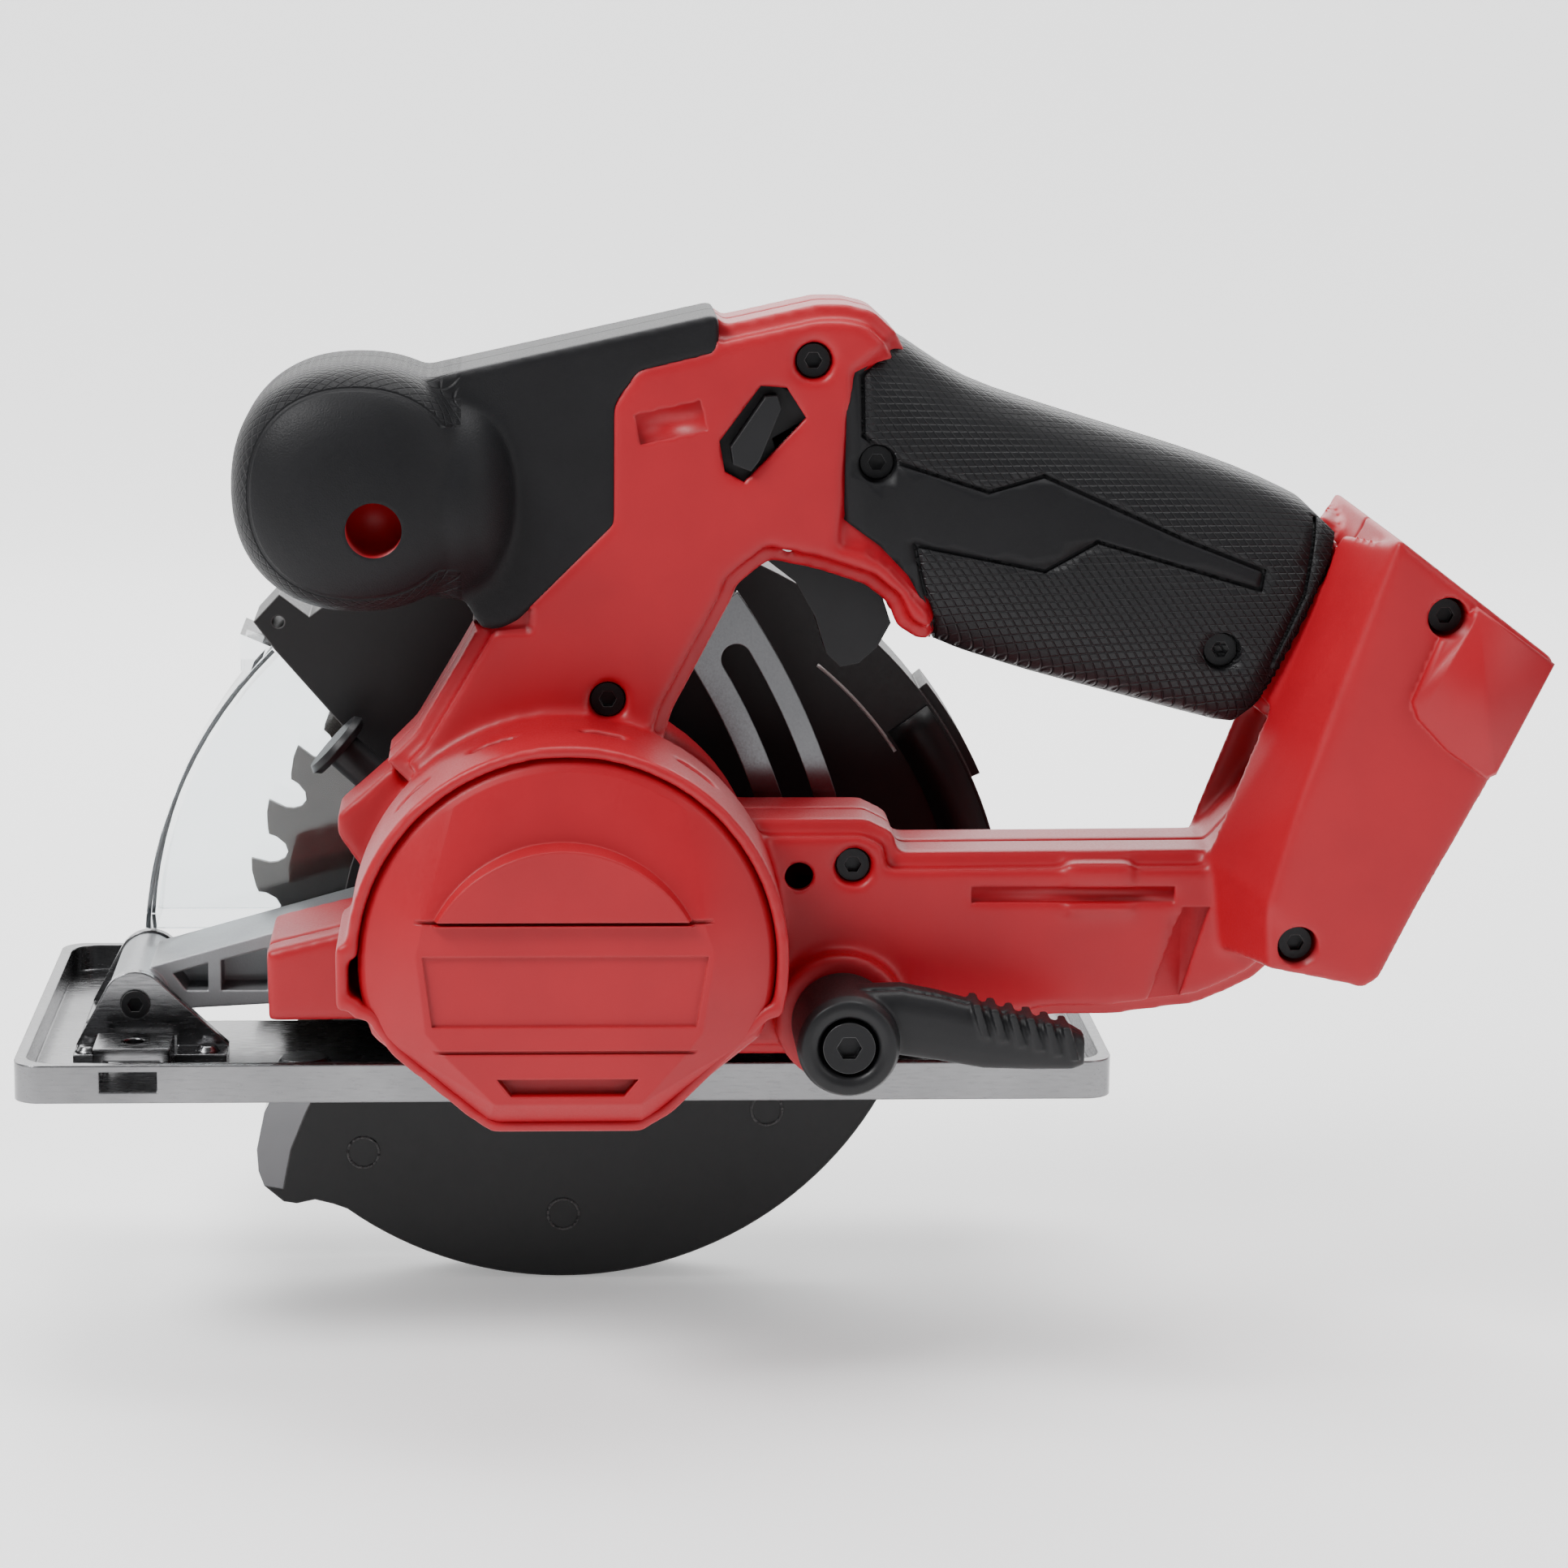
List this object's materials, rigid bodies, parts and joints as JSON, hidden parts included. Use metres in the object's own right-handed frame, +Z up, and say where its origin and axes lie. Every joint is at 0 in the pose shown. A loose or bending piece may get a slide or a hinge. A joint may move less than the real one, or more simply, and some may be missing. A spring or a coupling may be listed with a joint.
{
  "type": "circular saw",
  "caption": "Cordless circular saw for cutting metal: loop handle, front knob, clear guard window, sprung lower guard and a hinged steel shoe.",
  "frame": {"origin": "on the underside of the shoe, on the shoe's centreline, straight below the blade arbor", "axes": "+X towards the battery foot at the rear, +Y towards the blade side, +Z up through the saw"},
  "size_m": [0.3335, 0.165, 0.2394],
  "materials": {
    "red_shell": "fine spark-eroded texture, satin",
    "black_rubber": "matt with moulded diamond scales",
    "black_plastic": "satin moulded",
    "black_cast": "black powder coat",
    "clear_window": "polished clear polycarbonate",
    "black_screws": "black phosphated",
    "stator_iron": "stacked laminations",
    "copper_wire": "varnished winding",
    "bright_steel": "ground",
    "spring_steel": "drawn wire",
    "die_cast": "as cast, shot blasted",
    "blade_steel": "ground and darkened",
    "shoe_steel": "pressed, plated and scuffed",
    "bright_plated": "bright plated",
    "board_green": "solder mask",
    "terminal_brass": "pressed strip",
    "lead_cover": "insulation"
  },
  "bodies": {
    "saw_body": {"housing_left": "red_shell", "housing_right": "red_shell", "motor_end_cap": "red_shell", "front_grip_left": "black_rubber", "front_grip_right": "black_rubber", "rear_grip_left": "black_rubber", "rear_grip_right": "black_rubber", "housing_screws": "black_screws", "knob_screw": "black_screws", "stator_core": "stator_iron", "stator_windings": "copper_wire", "rotor_bearing_rear": "bright_steel", "rotor_bearing_front": "bright_steel", "bearing_plate": "die_cast", "gear_case": "die_cast", "gear_case_screws": "black_screws", "spindle_bearing_rear": "bright_steel", "spindle_bearing_front": "bright_steel", "upper_guard": "black_cast", "guard_window": "clear_window", "guard_screws": "black_screws", "guard_spring": "spring_steel", "guard_retaining_ring": "bright_steel", "depth_lock_bolt": "bright_steel", "trigger_pin": "bright_steel", "trigger_spring": "spring_steel", "switch_module": "black_plastic", "lock_off_spring": "spring_steel", "spindle_lock_spring": "spring_steel", "control_board": "board_green", "terminal_block": "black_plastic", "battery_terminals": "terminal_brass", "power_leads": "lead_cover"},
    "rotor": {"rotor_core": "stator_iron", "rotor_shaft": "bright_steel", "motor_fan": "black_plastic", "pinion": "bright_steel"},
    "blade_spindle": {"spindle": "bright_steel", "drive_gear": "bright_steel", "inner_flange": "blade_steel", "saw_blade": "blade_steel", "outer_flange": "blade_steel", "blade_bolt": "blade_steel"},
    "lower_guard": {"lower_guard": "black_plastic", "guard_nose_strip": "bright_plated", "guard_lever": "black_plastic", "guard_lever_screws": "bright_steel"},
    "shoe": {"shoe": "shoe_steel", "hinge_bracket": "shoe_steel", "hinge_screw": "black_screws", "bracket_rivets": "shoe_steel", "depth_quadrant": "bright_plated", "guide_clamp": "shoe_steel", "clamp_rivet": "shoe_steel"},
    "depth_lever": {"depth_lever": "black_plastic", "depth_lever_screw": "black_screws"},
    "trigger": {"trigger": "black_plastic"},
    "lock_off_lever": {"lock_off_lever": "black_plastic"},
    "spindle_lock_button": {"spindle_lock_button": "black_plastic"}
  },
  "joints": [
    {"name": "shoe_depth_hinge", "type": "hinge", "parent": "saw_body", "child": "shoe", "pos_m": [-0.0975, 0, 0.0143], "axis": [0, 1, 0], "range_deg": [0, 28]},
    {"name": "blade_spin", "type": "hinge", "parent": "saw_body", "child": "blade_spindle", "pos_m": [0, 0, 0.024], "axis": [0, 1, 0], "continuous": true},
    {"name": "motor_spin", "type": "hinge", "parent": "saw_body", "child": "rotor", "pos_m": [0, 0, 0.041], "axis": [0, 1, 0], "continuous": true},
    {"name": "lower_guard_swing", "type": "hinge", "parent": "saw_body", "child": "lower_guard", "pos_m": [0, 0, 0.024], "axis": [0, -1, 0], "range_deg": [0, 128], "stiffness_Nm_per_rad": 0.15, "springref_deg": -85.94},
    {"name": "depth_lever_turn", "type": "hinge", "parent": "saw_body", "child": "depth_lever", "pos_m": [0.0602, -0.08, 0.0213], "axis": [0, -1, 0], "range_deg": [0, 55]},
    {"name": "trigger_pull", "type": "hinge", "parent": "saw_body", "child": "trigger", "pos_m": [0.048, -0.047, 0.1255], "axis": [0, -1, 0], "range_deg": [0, 13], "stiffness_Nm_per_rad": 0.5, "springref_deg": -14.32},
    {"name": "lock_off_turn", "type": "hinge", "parent": "saw_body", "child": "lock_off_lever", "pos_m": [0.0382, -0.047, 0.1445], "axis": [0, 1, 0], "range_deg": [0, 17], "stiffness_Nm_per_rad": 0.05, "springref_deg": -17.19},
    {"name": "spindle_lock_press", "type": "slide", "parent": "saw_body", "child": "spindle_lock_button", "axis": [0.7431, 0, -0.6691], "range_m": [0, 0.0045], "stiffness_N_per_m": 600, "springref_m": -0.004}
  ],
  "couplings": [
    {"joint": "motor_spin", "follows": "blade_spin", "ratio": -3.25}
  ]
}
